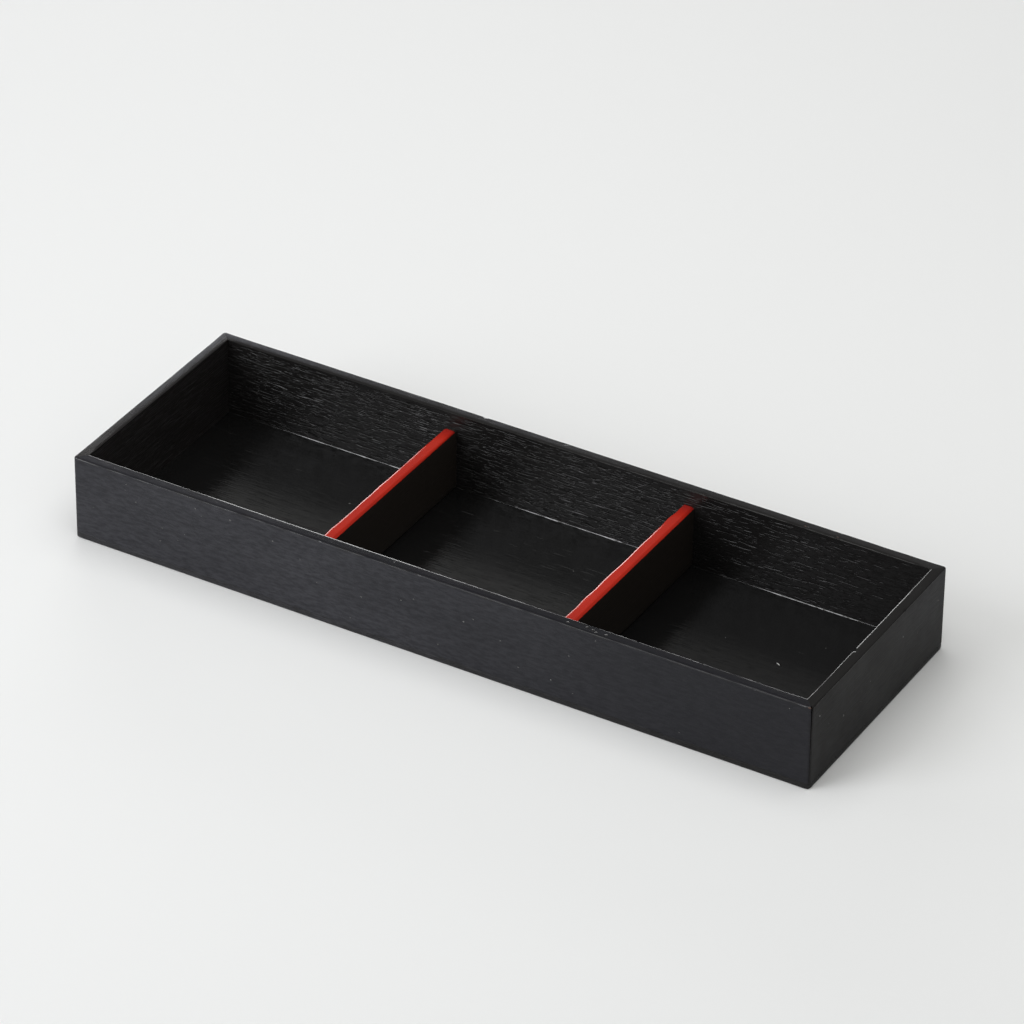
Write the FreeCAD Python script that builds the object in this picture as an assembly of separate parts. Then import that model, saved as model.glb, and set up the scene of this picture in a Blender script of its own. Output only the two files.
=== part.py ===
"""A long, shallow, open box of lacquered wood with three equal compartments.

Four walls stand on a flush bottom board and meet in mitres, each with a hidden spline.
Two lower dividers are housed in the long walls. Pegs fasten the bottom board from below.
Lengths are in millimetres. The origin is the centre of the underside, X runs along the box,
Y from its front to its back and Z up.
"""
import FreeCAD, Part
import math
import os

# Overall box
BOX_LENGTH = 360.0
BOX_WIDTH = 120.0
WALL_HEIGHT = 38.0
WALL_THICKNESS = 5.0
BOTTOM_THICKNESS = 3.0

# Rounded arrises
CORNER_RADIUS = 1.5
RIM_RADIUS = 0.5
FOOT_RADIUS = 0.9
DIVIDER_TOP_RADIUS = 0.4

# Dividers, from left to right, and the stopped housings that hold their ends
DIVIDER_NAMES = ["left_divider", "right_divider"]
DIVIDER_THICKNESS = 5.0
DIVIDER_HEIGHT = 30.0
HOUSING_DEPTH = 1.5

# Spline that crosses each mitre: how deep it enters each wall, and the wood left around it
SPLINE_THICKNESS = 1.2
SPLINE_DEPTH = 1.5
SPLINE_INNER_COVER = 2.0
SPLINE_TOP_COVER = 5.0

# Pegs driven through the bottom board into the lower edges of the walls
PEG_DIAMETER = 2.0
PEG_DEPTH_IN_WALL = 8.0
PEG_CLEARANCE = 0.02
PEGS_PER_COMPARTMENT = 2
PEGS_PER_END_WALL = 2

# Derived sizes
BOX_HEIGHT = BOTTOM_THICKNESS + WALL_HEIGHT
INNER_LENGTH = BOX_LENGTH - 2 * WALL_THICKNESS
INNER_WIDTH = BOX_WIDTH - 2 * WALL_THICKNESS
COMPARTMENTS = len(DIVIDER_NAMES) + 1
COMPARTMENT_LENGTH = (INNER_LENGTH - len(DIVIDER_NAMES) * DIVIDER_THICKNESS) / COMPARTMENTS
COMPARTMENT_PITCH = COMPARTMENT_LENGTH + DIVIDER_THICKNESS
UP = FreeCAD.Vector(0, 0, 1)


def point(x, y, z=0.0):
    return FreeCAD.Vector(x, y, z)


def centred_box(length, width, height, base):
    """A box centred on X and Y, standing on z = base."""
    return Part.makeBox(length, width, height, point(-length / 2, -width / 2, base))


def upright_edges(solid):
    return [edge for edge in solid.Edges if edge.BoundBox.ZLength > edge.BoundBox.DiagonalLength / 2]


def edges_at_height(solid, height):
    """The edges that lie wholly in the level plane at this height."""
    return [edge for edge in solid.Edges
            if abs(edge.BoundBox.ZMin - height) < 1e-4 and abs(edge.BoundBox.ZMax - height) < 1e-4]


def finished_form():
    """The whole box as one form, with every outside and rim arris rounded, before it is cut into boards."""
    block = centred_box(BOX_LENGTH, BOX_WIDTH, BOX_HEIGHT, 0)
    block = block.makeFillet(CORNER_RADIUS, upright_edges(block))
    block = block.makeFillet(FOOT_RADIUS, edges_at_height(block, 0))
    form = block.cut(centred_box(INNER_LENGTH, INNER_WIDTH, WALL_HEIGHT, BOTTOM_THICKNESS))
    return form.makeFillet(RIM_RADIUS, edges_at_height(form, BOX_HEIGHT))


def mitred_blank(outer_start, outer_end, inner_end, inner_start):
    """A wall's blank, as high as the wall: its four plan corners run along the outer face and back."""
    outline = Part.makePolygon([outer_start, outer_end, inner_end, inner_start, outer_start])
    return Part.Face(outline).extrude(UP * WALL_HEIGHT)


def wall_blanks():
    """The four walls' blanks. Each one ends in two mitres, from the outer corner to the inner one."""
    outer_x, outer_y = BOX_LENGTH / 2, BOX_WIDTH / 2
    inner_x, inner_y = INNER_LENGTH / 2, INNER_WIDTH / 2
    outer = {}
    inner = {}
    for side_x in (-1, 1):
        for side_y in (-1, 1):
            outer[side_x, side_y] = point(side_x * outer_x, side_y * outer_y, BOTTOM_THICKNESS)
            inner[side_x, side_y] = point(side_x * inner_x, side_y * inner_y, BOTTOM_THICKNESS)
    ends = {
        "front_wall": ((-1, -1), (1, -1)),
        "right_wall": ((1, -1), (1, 1)),
        "back_wall": ((1, 1), (-1, 1)),
        "left_wall": ((-1, 1), (-1, -1)),
    }
    return {name: mitred_blank(outer[start], outer[end], inner[end], inner[start])
            for name, (start, end) in ends.items()}


def compartment_centre(number):
    """Where compartment 0, 1, 2 ... has its middle along X."""
    return (number - (COMPARTMENTS - 1) / 2) * COMPARTMENT_PITCH


def divider_centre(number):
    return compartment_centre(number) + COMPARTMENT_PITCH / 2


def divider_blank(number):
    """A divider before its top arrises are rounded, which is also the shape of its two housings."""
    blank = centred_box(DIVIDER_THICKNESS, INNER_WIDTH + 2 * HOUSING_DEPTH, DIVIDER_HEIGHT, BOTTOM_THICKNESS)
    return blank.translated(point(divider_centre(number), 0))


def divider(number):
    blank = divider_blank(number)
    long_top_edges = [edge for edge in edges_at_height(blank, BOTTOM_THICKNESS + DIVIDER_HEIGHT)
                      if edge.BoundBox.YLength > edge.BoundBox.XLength]
    return blank.makeFillet(DIVIDER_TOP_RADIUS, long_top_edges)


def corner_spline(side_x, side_y):
    """A thin upright strip let into both walls, square to the mitre and nearer its inner end."""
    mitre_length = math.hypot(WALL_THICKNESS, WALL_THICKNESS)
    from_outer_corner = mitre_length - SPLINE_INNER_COVER - SPLINE_THICKNESS / 2
    inset = from_outer_corner / math.sqrt(2)
    height = WALL_HEIGHT - SPLINE_TOP_COVER
    strip = centred_box(2 * SPLINE_DEPTH, SPLINE_THICKNESS, height, BOTTOM_THICKNESS)
    strip.rotate(point(0, 0), UP, -45 * side_x * side_y)
    strip.translate(point(side_x * (BOX_LENGTH / 2 - inset), side_y * (BOX_WIDTH / 2 - inset)))
    return strip


def spread(length, count):
    """Places of evenly spread pegs along a length that is centred on zero."""
    return [((number + 0.5) / count - 0.5) * length for number in range(count)]


def peg_places():
    """Every peg's name and place, on the middle line of the wall that it enters."""
    line_x = (BOX_LENGTH - WALL_THICKNESS) / 2
    line_y = (BOX_WIDTH - WALL_THICKNESS) / 2
    along = [compartment_centre(number) + offset for number in range(COMPARTMENTS)
             for offset in spread(COMPARTMENT_LENGTH, PEGS_PER_COMPARTMENT)]
    across = spread(INNER_WIDTH, PEGS_PER_END_WALL)
    places = {}
    for side, y in (("front", -line_y), ("back", line_y)):
        for number, x in enumerate(along, start=1):
            places["%s_peg_%d" % (side, number)] = point(x, y)
    for side, x in (("left", -line_x), ("right", line_x)):
        for number, y in enumerate(across, start=1):
            places["%s_peg_%d" % (side, number)] = point(x, y)
    return places


def peg(place, clearance=0.0):
    """A round peg, flush with the underside. With a clearance it is the hole that the peg is driven into."""
    length = BOTTOM_THICKNESS + PEG_DEPTH_IN_WALL + clearance
    return Part.makeCylinder(PEG_DIAMETER / 2 + clearance, length, place)


def box_pieces():
    """Every piece of the box, by name."""
    dividers = {name: divider(number) for number, name in enumerate(DIVIDER_NAMES)}
    splines = {"%s_%s_spline" % (across, along): corner_spline(side_x, side_y)
               for across, side_y in (("front", -1), ("back", 1))
               for along, side_x in (("left", -1), ("right", 1))}
    pegs = {name: peg(place) for name, place in peg_places().items()}
    peg_holes = Part.makeCompound([peg(place, PEG_CLEARANCE) for place in peg_places().values()])
    housings = Part.makeCompound([divider_blank(number) for number in range(len(DIVIDER_NAMES))])
    spline_slots = Part.makeCompound(list(splines.values()))

    form = finished_form()
    walls = {name: form.common(blank).cut([housings, spline_slots, peg_holes])
             for name, blank in wall_blanks().items()}
    board_blank = centred_box(BOX_LENGTH, BOX_WIDTH, BOTTOM_THICKNESS, 0)
    board = {"bottom_board": form.common(board_blank).cut(peg_holes)}
    return {**walls, **board, **dividers, **splines, **pegs}


def save(pieces):
    os.makedirs("parts", exist_ok=True)
    for name, shape in pieces.items():
        solid, = shape.Solids
        solid.exportStep("parts/" + name + ".step")
        print("%-20s %10.1f cubic mm" % (name, solid.Volume))


save(box_pieces())
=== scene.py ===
"""The visible surfaces of a long, open, black-lacquered box with three compartments.

Two low dividers with vermilion top edges part the compartments.
"""
import bpy
import bmesh
import math
import random
from mathutils import Matrix, Vector, noise


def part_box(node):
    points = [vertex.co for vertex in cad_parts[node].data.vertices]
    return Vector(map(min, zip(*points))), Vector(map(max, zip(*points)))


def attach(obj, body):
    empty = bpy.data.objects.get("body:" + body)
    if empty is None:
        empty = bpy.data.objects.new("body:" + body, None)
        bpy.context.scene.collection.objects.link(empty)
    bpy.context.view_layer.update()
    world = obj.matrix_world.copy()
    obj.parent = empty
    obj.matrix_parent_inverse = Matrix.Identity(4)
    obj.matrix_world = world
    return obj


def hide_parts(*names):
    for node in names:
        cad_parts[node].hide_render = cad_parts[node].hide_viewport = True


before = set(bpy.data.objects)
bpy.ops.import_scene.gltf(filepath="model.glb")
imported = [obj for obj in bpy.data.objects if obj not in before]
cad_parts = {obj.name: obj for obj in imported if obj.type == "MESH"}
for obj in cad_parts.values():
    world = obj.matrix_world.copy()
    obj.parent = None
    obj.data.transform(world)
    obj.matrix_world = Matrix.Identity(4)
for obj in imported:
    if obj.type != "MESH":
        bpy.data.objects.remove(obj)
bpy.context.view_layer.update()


# ---- The four walls ----
# Thin boards of open-pored hardwood, mitred, their grain along the rim, glued to the bottom board.
# Black lacquer is wiped on thinly: the pores stay open inside, and are rubbed full on the rim and outside.
MM = 0.001
front_low, front_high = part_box("front_wall")
half_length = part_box("right_wall")[1].x / MM
half_width = -front_low.y / MM
seam_height = front_low.z / MM
rim_height = front_high.z / MM
wall_thickness = (front_high.y - front_low.y) / MM
rim_round = 0.5
seam_round = 0.12
corner_round = 1.5
outer_set_back = 0.05
arris_reach = 1.6
shoulder_slope = 0.15
outside_filled = 0.90
rim_filled = 0.97
station_gap = 0.5
mitre_gap = 0.25
mitre_reach = 2


def round_upright_corner(x, y):
    """Draws a point near one of the box's four upright corners in, onto the rounded corner."""
    from_end = half_length - abs(x)
    from_side = half_width - abs(y)
    if from_end >= corner_round or from_side >= corner_round:
        return x, y
    run_x = corner_round - from_end
    run_y = corner_round - from_side
    if run_x == 0 and run_y == 0:
        return x, y
    shrink = max(run_x, run_y) / math.hypot(run_x, run_y)
    new_x = half_length - corner_round + run_x * shrink
    new_y = half_width - corner_round + run_y * shrink
    return math.copysign(new_x, x), math.copysign(new_y, y)


def smooth_step(value, low, high):
    """0 up to the low value and 1 from the high one, with a soft rise between them."""
    share = min(1.0, max(0.0, (value - low) / (high - low)))
    return share * share * (3 - 2 * share)


def wandering(x, y, z):
    """A number between -1 and 1 that changes slowly with these three."""
    return noise.noise(Vector((x, y, z)))


def wall_section(easing, steepest, shoulder, patchy, finish):
    """The wall's section: depth from the outer face, height, the way it faces, how far its pores are
    filled, how dull it is and how polished, all the way round. The inner arris is eased as far in as
    the easing says, and turns down to the steepest angle before it breaks to the inner face.
    A shoulder is a shallow slope worn between the outer arris and the rim."""
    outer_polish, inner_polish, rim_dull, arris_dull, inside_dull, inside_filled = finish
    inner_round = easing / math.sin(steepest)
    drop = inner_round * (1 - math.cos(steepest))
    rows = [0, 0.012, 0.05, 0.12, 0.2, 0.28, 0.36, 0.44, 0.52, 0.6, 0.68, 0.76, 0.84, 0.91, 0.96, 0.985, 1]
    turns = [step / 5 * math.pi / 2 for step in range(1, 5)]
    low = seam_height + seam_round
    worn_down = shoulder_slope * shoulder
    outside = (outside_filled, 1.0, 0.0)
    on_rim = (rim_filled, rim_dull, 0.0)
    inside = (inside_filled, inside_dull, 0.0)
    points = [(0.035, seam_height + 0.035, -0.7, -0.7, outside)]
    for share in rows:
        points.append((0, low + (rim_height - worn_down - rim_round - low) * share, -1, 0, outside))
    for turn in turns:
        points.append((rim_round * (1 - math.cos(turn)),
                       rim_height - worn_down - rim_round * (1 - math.sin(turn)),
                       -math.cos(turn), math.sin(turn), (rim_filled, rim_dull, outer_polish * patchy)))
    if shoulder:
        points.append((rim_round + shoulder * 0.1, rim_height - worn_down * 0.92, 0, 1, on_rim))
        points.append((rim_round + shoulder * 0.5, rim_height - worn_down * 0.5, 0, 1, on_rim))
    top_start = rim_round + shoulder
    top_end = wall_thickness - easing
    for share in (0, 0.08, 0.3, 0.5, 0.7, 0.92, 1):
        points.append((top_start + (top_end - top_start) * share, rim_height, 0, 1, on_rim))
    for share in (0.2, 0.4, 0.6, 0.8, 1):
        turn = steepest * share
        points.append((top_end + inner_round * math.sin(turn),
                       rim_height - inner_round * (1 - math.cos(turn)),
                       math.sin(turn), math.cos(turn), (rim_filled, arris_dull, inner_polish)))
    for share in reversed(rows):
        height = seam_height + (rim_height - drop - 0.05 - seam_height) * share
        filled = max(inside_filled, 1 - smooth_step(rim_height - height, 0.6, 2.0))
        points.append((wall_thickness, height, 1, 0, (filled, inside_dull, 0.0)))
    points.append((wall_thickness * 0.6, seam_height, 0, -1, inside))
    points.append((wall_thickness * 0.3, seam_height, 0, -1, inside))
    points.append((seam_round, seam_height, 0, -1, inside))
    return points


def stations(half_run):
    """Places along a wall as shares of its half length, close together next to the mitres."""
    near_mitre = [mitre_gap * number for number in range(round(mitre_reach / mitre_gap))]
    middle = 2 * (half_run - mitre_reach)
    count = round(middle / station_gap)
    from_end = near_mitre + [mitre_reach + middle * number / count for number in range(count + 1)]
    from_end = from_end + [2 * half_run - gap for gap in reversed(near_mitre)]
    return [gap / half_run - 1 for gap in from_end]


def nick_depth(place, nicks):
    """How deep the nicks are at a place, in millimetres, and how much of the wood they lay bare."""
    deep = 0.0
    bare = 0.0
    for centre, run, across, depth, shows_wood in nicks:
        gap = place - Vector(centre)
        long_gap = gap.x if run[0] else gap.y
        short_gap = gap.y if run[0] else gap.x
        ragged_edge = 0.35 * noise.noise(place * 1.7)
        reach = (long_gap / (run[0] or run[1])) ** 2 + (short_gap ** 2 + gap.z ** 2) / across ** 2
        reach = reach + ragged_edge
        if reach < 1:
            hollow = (1 - max(reach, 0)) ** 0.8
            deep = max(deep, depth * hollow)
            bare = max(bare, shows_wood * hollow)
    return deep, bare


def arris_nearness(place):
    """1 on a rim arris or an upright corner of the box, falling to 0 at the arris's reach."""
    from_end = half_length - abs(place.x)
    from_side = half_width - abs(place.y)
    below_rim = rim_height - place.z
    outside = min(from_end, from_side)
    gaps = [math.hypot(outside, below_rim), math.hypot(outside - wall_thickness, below_rim),
            math.hypot(from_end, from_side)]
    return max(0.0, 1 - min(gaps) / arris_reach)


def float_layers(build, names):
    """New number attributes for the vertices of a bmesh, by name."""
    return {name: build.verts.layers.float.new(name) for name in names}


def add_vert(build, place, layers, values):
    """A vertex at a place in millimetres, with its attributes' values."""
    vert = build.verts.new(place * MM)
    for name, value in values.items():
        vert[layers[name]] = value
    return vert


def skin_loops(build, loops):
    """Joins closed loops of vertices, each one to the next, and gives the faces."""
    faces = []
    for loop, following in zip(loops, loops[1:]):
        for number in range(len(loop)):
            other = (number + 1) % len(loop)
            faces.append(build.faces.new((loop[number], loop[other], following[other], following[number])))
    return faces


def add_object(name, data):
    """A new object in the scene."""
    thing = bpy.data.objects.new(name, data)
    bpy.context.scene.collection.objects.link(thing)
    return thing


def plain_mesh(name, build, material, sharp_beyond=32):
    """Turns a bmesh of a closed surface into an object with outward normals and smooth rounds."""
    bmesh.ops.recalc_face_normals(build, faces=build.faces)
    mesh = bpy.data.meshes.new(name)
    build.to_mesh(mesh)
    build.free()
    mesh.materials.append(material)
    mesh.polygons.foreach_set("use_smooth", [True] * len(mesh.polygons))
    mesh.set_sharp_from_angle(angle=math.radians(sharp_beyond))
    return add_object(name, mesh)


finish_names = ("filled", "dull", "polish")


def mitre_gape(depth, height, openness):
    """How far an open mitre gapes: most at the rim, and not at all deeper in than 1.4 mm."""
    gape = 0.14 + 0.20 * smooth_step(height, 8, 38) + 0.20 * smooth_step(height, 37.5, 39.5)
    return gape * max(0.0, openness) * (1 - smooth_step(depth, 0.6, 1.4))


def surface_fall(place, face_in, near):
    """How far a wall's surface lies below its true face. Planing by hand leaves it a little uneven,
    use wears the arrises, and the outer face is planed a little back from the board's edge."""
    uneven = 0.035 + 0.03 * noise.noise(place / 21) + 0.012 * noise.noise(place / 5)
    worn = near * (0.055 + 0.055 * noise.noise(place / 7 + Vector((3, 8, 1))))
    set_back = outer_set_back if face_in < -0.9 else 0.0
    return max(0.0, uneven + set_back + worn)


def lacquered_wall(name, outward, inner_round, steepest, shoulder, nicks, haze_and_sheen_at, finish_at, open_end,
                   lacquer):
    """A wall as its section carried along from mitre to mitre, each face a little uneven.
    The mitre at its open end, if it has one, gapes a little towards the outer corner."""
    half_run, outer = (half_width, half_length) if outward.x else (half_length, half_width)
    along = Vector((-outward.y, outward.x, 0))
    build = bmesh.new()
    layers = float_layers(build, ("arris", "bare", "haze_and_sheen") + finish_names)
    loops = []
    for share in stations(half_run):
        from_mitre = half_run * (1 - abs(share))
        fade = smooth_step(from_mitre, 1.5, 9)
        middle = along * (half_run * share)
        easing = 0.3 + (inner_round(half_run * share) - 0.3) * fade
        patchy = min(1.0, max(0.0, 0.65 + 1.1 * noise.noise(middle / 7 + Vector((5, 2, 8)))))
        section = wall_section(easing, math.radians(steepest), shoulder * max(fade, 0.02), patchy,
                               finish_at(half_run * share))
        near_gap = open_end * math.copysign(1 - smooth_step(from_mitre, 0, 1.4), share)
        loop = []
        for depth, height, face_in, face_up, finish in section:
            place = outward * (outer - depth) + along * ((half_run - depth) * share)
            place = place - along * math.copysign(mitre_gape(depth, height, near_gap), share)
            place.z = height
            facing = Vector((0, 0, face_up)) - outward * face_in
            near = arris_nearness(place)
            deep, bare = nick_depth(place, nicks)
            fall = surface_fall(place, face_in, near) * smooth_step(height, seam_height, seam_height + 2)
            place = place - facing * (fall * fade + deep)
            place.x, place.y = round_upright_corner(place.x, place.y)
            values = {"arris": near, "bare": bare, "haze_and_sheen": haze_and_sheen_at(place, facing)}
            values.update(zip(finish_names, finish))
            loop.append(add_vert(build, place, layers, values))
        loops.append(loop)
    skin_loops(build, loops)
    build.faces.new(loops[0])
    build.faces.new(loops[-1])
    return plain_mesh(name, build, lacquer)


# Helpers for all node trees
def join(tree, node, values):
    """Sets a node's inputs by name or number. Sockets are linked, and so are nodes, by what they put out
    first. Plain values are set."""
    for label, value in values.items():
        if isinstance(value, bpy.types.Node):
            value = value.outputs[0]
        if isinstance(value, bpy.types.NodeSocket):
            tree.links.new(value, node.inputs[label])
        else:
            node.inputs[label].default_value = value
    return node


def add_node(tree, kind, values, **settings):
    """A new node with its settings and its inputs."""
    node = tree.nodes.new(kind)
    for label, setting in settings.items():
        setattr(node, label, setting)
    return join(tree, node, values)


def new_group(name, inputs, outputs):
    """An empty shader node group with named inputs and outputs, each of the kind given beside its name."""
    group = bpy.data.node_groups.new(name, "ShaderNodeTree")
    for in_out, sockets in (("INPUT", inputs), ("OUTPUT", outputs)):
        for label, kind in sockets.items():
            group.interface.new_socket(name=label, in_out=in_out, socket_type="NodeSocket" + kind)
    return group, group.nodes.new("NodeGroupInput").outputs, group.nodes.new("NodeGroupOutput")


def place_group(tree, group, values):
    """A group's node, and what it puts out."""
    return add_node(tree, "ShaderNodeGroup", values, node_tree=group).outputs


def sum_node(tree, operation, *terms):
    """A Math node's value. Each term is a number or a socket."""
    return add_node(tree, "ShaderNodeMath", dict(enumerate(terms)), operation=operation).outputs[0]


def vector_sum(tree, operation, first, second):
    """A Vector Math node's vector."""
    node = add_node(tree, "ShaderNodeVectorMath", {0: first, 1: second}, operation=operation)
    return node.outputs["Vector"]


def soft_range(tree, value, low, high, start=0.0, end=1.0):
    """Maps a value smoothly from one range to another."""
    ends = {"Value": value, "From Min": low, "From Max": high, "To Min": start, "To Max": end}
    return add_node(tree, "ShaderNodeMapRange", ends, interpolation_type="SMOOTHSTEP").outputs["Result"]


def mottle(tree, place, scale, detail, roughness=0.5, stretch=None, put_out="Fac"):
    """A noise texture's value, drawn out by the three numbers of its stretch."""
    if stretch:
        place = vector_sum(tree, "MULTIPLY", place, stretch)
    return add_node(tree, "ShaderNodeTexNoise", {
        "Vector": place, "Scale": scale, "Detail": detail, "Roughness": roughness}).outputs[put_out]


# The open grain, used by every wooden board: long thin pores, fine fibre and the rings that gather them
def pore_field(tree, place, length, width, share):
    """Separate long hollows of many lengths: a mottle stretched along the grain, its peaks cut off."""
    size = add_node(tree, "ShaderNodeCombineXYZ", {"X": length, "Y": width, "Z": width})
    hollows = mottle(tree, vector_sum(tree, "DIVIDE", place, size), 1.0, 0.0)
    return soft_range(tree, sum_node(tree, "ADD", hollows, share), 0.84, 1.02)


open_grain, given, result = new_group(
    "open grain",
    {"Place": "Vector", "Pore Length": "Float", "Pore Width": "Float", "Pore Share": "Float",
     "Ring Width": "Float"},
    {"Pores": "Float", "Fibre": "Float", "Rings": "Float"})
wander = mottle(open_grain, given["Place"], 1.0, 1.0, stretch=(14, 70, 70), put_out="Color")
centred = vector_sum(open_grain, "SUBTRACT", wander, (0.5, 0.5, 0.5))
drift = vector_sum(open_grain, "MULTIPLY", centred, (0, 0.0005, 0.0005))
grain_place = vector_sum(open_grain, "ADD", given["Place"], drift)
axes = add_node(open_grain, "ShaderNodeSeparateXYZ", {0: grain_place}).outputs
slow = mottle(open_grain, given["Place"], 1.0, 1.0, stretch=(5, 28, 28))
across = sum_node(open_grain, "MULTIPLY_ADD", axes["Z"], 0.35, axes["Y"])
ring_count = sum_node(open_grain, "DIVIDE", across, given["Ring Width"])
ring_count = sum_node(open_grain, "MULTIPLY_ADD", slow, 3.5, ring_count)
ring_wave = sum_node(open_grain, "SINE", sum_node(open_grain, "MULTIPLY", ring_count, 2 * math.pi))
rings = sum_node(open_grain, "MULTIPLY_ADD", ring_wave, 0.5, 0.5)
ring_share = sum_node(open_grain, "MULTIPLY_ADD", rings, 0.05, given["Pore Share"])
large_pores = pore_field(open_grain, grain_place, given["Pore Length"], given["Pore Width"], ring_share)
patchy = mottle(open_grain, given["Place"], 1.0, 1.0, stretch=(55, 420, 420))
strength = soft_range(open_grain, patchy, 0.36, 0.64, 0.20, 1.0)
large_pores = sum_node(open_grain, "MULTIPLY", large_pores, strength)
small_length = sum_node(open_grain, "MULTIPLY", given["Pore Length"], 0.55)
small_width = sum_node(open_grain, "MULTIPLY", given["Pore Width"], 0.7)
small_pores = pore_field(open_grain, grain_place, small_length, small_width, ring_share)
small_pores = sum_node(open_grain, "MULTIPLY", small_pores, 0.4)
join(open_grain, result, {
    "Pores": sum_node(open_grain, "MAXIMUM", large_pores, small_pores),
    "Fibre": mottle(open_grain, grain_place, 1.0, 2.0, 0.6, stretch=(30, 1700, 1700)),
    "Rings": rings})

# Wear: the lacquer is thin on the arrises, and gone in patches and in the nicks
rubbed_arris, given, result = new_group(
    "rubbed arris", {"Place": "Vector", "Arris": "Float", "Bare": "Float"},
    {"Thin": "Float", "Bare Wood": "Float"})
thin = soft_range(rubbed_arris, mottle(rubbed_arris, given["Place"], 160.0, 3.0, 0.65), 0.42, 0.72)
specks = mottle(rubbed_arris, given["Place"], 620.0, 2.0)
speck_edge = sum_node(rubbed_arris, "MULTIPLY_ADD", specks, 0.9, given["Bare"])
join(rubbed_arris, result, {
    "Thin": sum_node(rubbed_arris, "MULTIPLY", thin, given["Arris"]),
    "Bare Wood": soft_range(rubbed_arris, speck_edge, 0.78, 1.05)})

# Handling: soft patches where the lacquer is a little duller
handled, given, result = new_group("handled lacquer", {"Place": "Vector"}, {"Dulled": "Float"})
cloudy = mottle(handled, given["Place"], 38.0, 4.0, 0.6)
join(handled, result, {"Dulled": soft_range(handled, cloudy, 0.35, 0.7)})


def new_material(name):
    """A new material, its node tree, its shader and the place on the piece."""
    material = bpy.data.materials.new(name)
    material.use_nodes = True
    tree = material.node_tree
    where = tree.nodes.new("ShaderNodeTexCoord").outputs["Object"]
    return material, tree, tree.nodes["Principled BSDF"], where


def attribute(tree, name):
    """The value of one of the mesh's own attributes."""
    return add_node(tree, "ShaderNodeAttribute", {}, attribute_name=name).outputs["Fac"]


def relief(tree, height):
    """The normals of a surface with this height, in millimetres."""
    return add_node(tree, "ShaderNodeBump", {"Distance": MM, "Height": height}).outputs["Normal"]


def blend_colour(tree, share, first, second):
    """A colour between two, each of them a plain colour or a socket."""
    # A Mix node has inputs of every kind: its two colours are numbers 6 and 7, and its mixed colour 2
    node = add_node(tree, "ShaderNodeMix", {"Factor": share, 6: first, 7: second}, data_type="RGBA")
    return node.outputs[2]


GRAIN_ALONG_LENGTH = Matrix(((1, 0, 0), (0, 0, 1), (0, -1, 0)))
GRAIN_ALONG_WIDTH = Matrix(((0, 1, 0), (0, 0, 1), (1, 0, 0)))
GRAIN_IN_FLAT_BOARD = Matrix.Identity(3)
pore_width = 0.00080
ring_width = 0.0052
ring_height = 0.012
black_coat = (0.0098, 0.0092, 0.0090, 1)
bluish_coat = (0.0092, 0.0092, 0.0120, 1)
shaded_coat = (0.0130, 0.0115, 0.0115, 1)
brownish_coat = (0.0195, 0.0155, 0.0130, 1)
floor_coat = (0.0060, 0.0059, 0.0059, 1)
thin_coat = (0.0125, 0.0115, 0.0115, 1)
bare_colour = (0.060, 0.030, 0.020, 1)
# Grey for the painted sheen on the rims and the right outer face, and for the grey on the front outer face
haze_and_sheen_coat = (0.052, 0.052, 0.060, 1)


def black_lacquer(name, grain, shift, pore_share=0.26, pore_depth=0.42, fibre_depth=0.028,
                  gloss=0.25, level=0.30, coat=black_coat, pore_length=0.011):
    """Black lacquer on open grain. The grain's own axes and its place in the board set each board apart."""
    material, tree, shader, where = new_material(name)
    turned = add_node(tree, "ShaderNodeMapping", {
        "Vector": where, "Rotation": grain.to_euler(), "Location": shift}).outputs["Vector"]
    wood = place_group(tree, open_grain, {
        "Place": turned, "Pore Length": pore_length, "Pore Width": pore_width, "Pore Share": pore_share,
        "Ring Width": ring_width})
    wear = place_group(tree, rubbed_arris, {
        "Place": where, "Arris": attribute(tree, "arris"), "Bare": attribute(tree, "bare")})
    handling = place_group(tree, handled, {"Place": where})
    # The grey blended in below is painted sheen on the rims and on the right outer face, and a plain grey on
    # the front outer face
    haze_and_sheen = attribute(tree, "haze_and_sheen")
    rubbed_dull = attribute(tree, "dull")
    lines = mottle(tree, turned, 1.0, 3.0, 0.7, stretch=(190, 640, 640))
    lines = soft_range(tree, lines, 0.30, 0.70)
    brushed_and_sheen = sum_node(tree, "MULTIPLY", sum_node(tree, "MAXIMUM", rubbed_dull, 0.0), 0.10)
    brushed_and_sheen = sum_node(tree, "MULTIPLY_ADD", haze_and_sheen, 0.8, brushed_and_sheen)
    haze_and_sheen_share = sum_node(tree, "MULTIPLY_ADD", brushed_and_sheen, lines, sum_node(tree, "MULTIPLY", haze_and_sheen, 0.6))
    colour = blend_colour(tree, haze_and_sheen_share, coat, haze_and_sheen_coat)
    colour = blend_colour(tree, wear["Thin"], colour, thin_coat)
    colour = blend_colour(tree, wear["Bare Wood"], colour, bare_colour)
    dull = gloss
    for cause, amount in ((handling["Dulled"], 0.07), (wood["Fibre"], 0.10), (wear["Bare Wood"], 0.25),
                          (rubbed_dull, 0.26)):
        dull = sum_node(tree, "MULTIPLY_ADD", cause, amount, dull)
    left_open = sum_node(tree, "MULTIPLY_ADD", attribute(tree, "filled"), -1.0, 1.0)
    height = sum_node(tree, "MULTIPLY", wood["Pores"], -pore_depth)
    height = sum_node(tree, "MULTIPLY_ADD", wood["Rings"], ring_height, height)
    height = sum_node(tree, "MULTIPLY", height, left_open)
    drawn = sum_node(tree, "MULTIPLY_ADD", rubbed_dull, -0.3 * fibre_depth, fibre_depth)
    height = sum_node(tree, "MULTIPLY_ADD", wood["Fibre"], drawn, height)
    join(tree, shader, {
        "Base Color": colour, "Roughness": dull, "IOR": 1.5, "Specular IOR Level": level,
        "Coat Weight": attribute(tree, "polish"), "Coat Roughness": 0.14, "Normal": relief(tree, height)})
    return material


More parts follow.
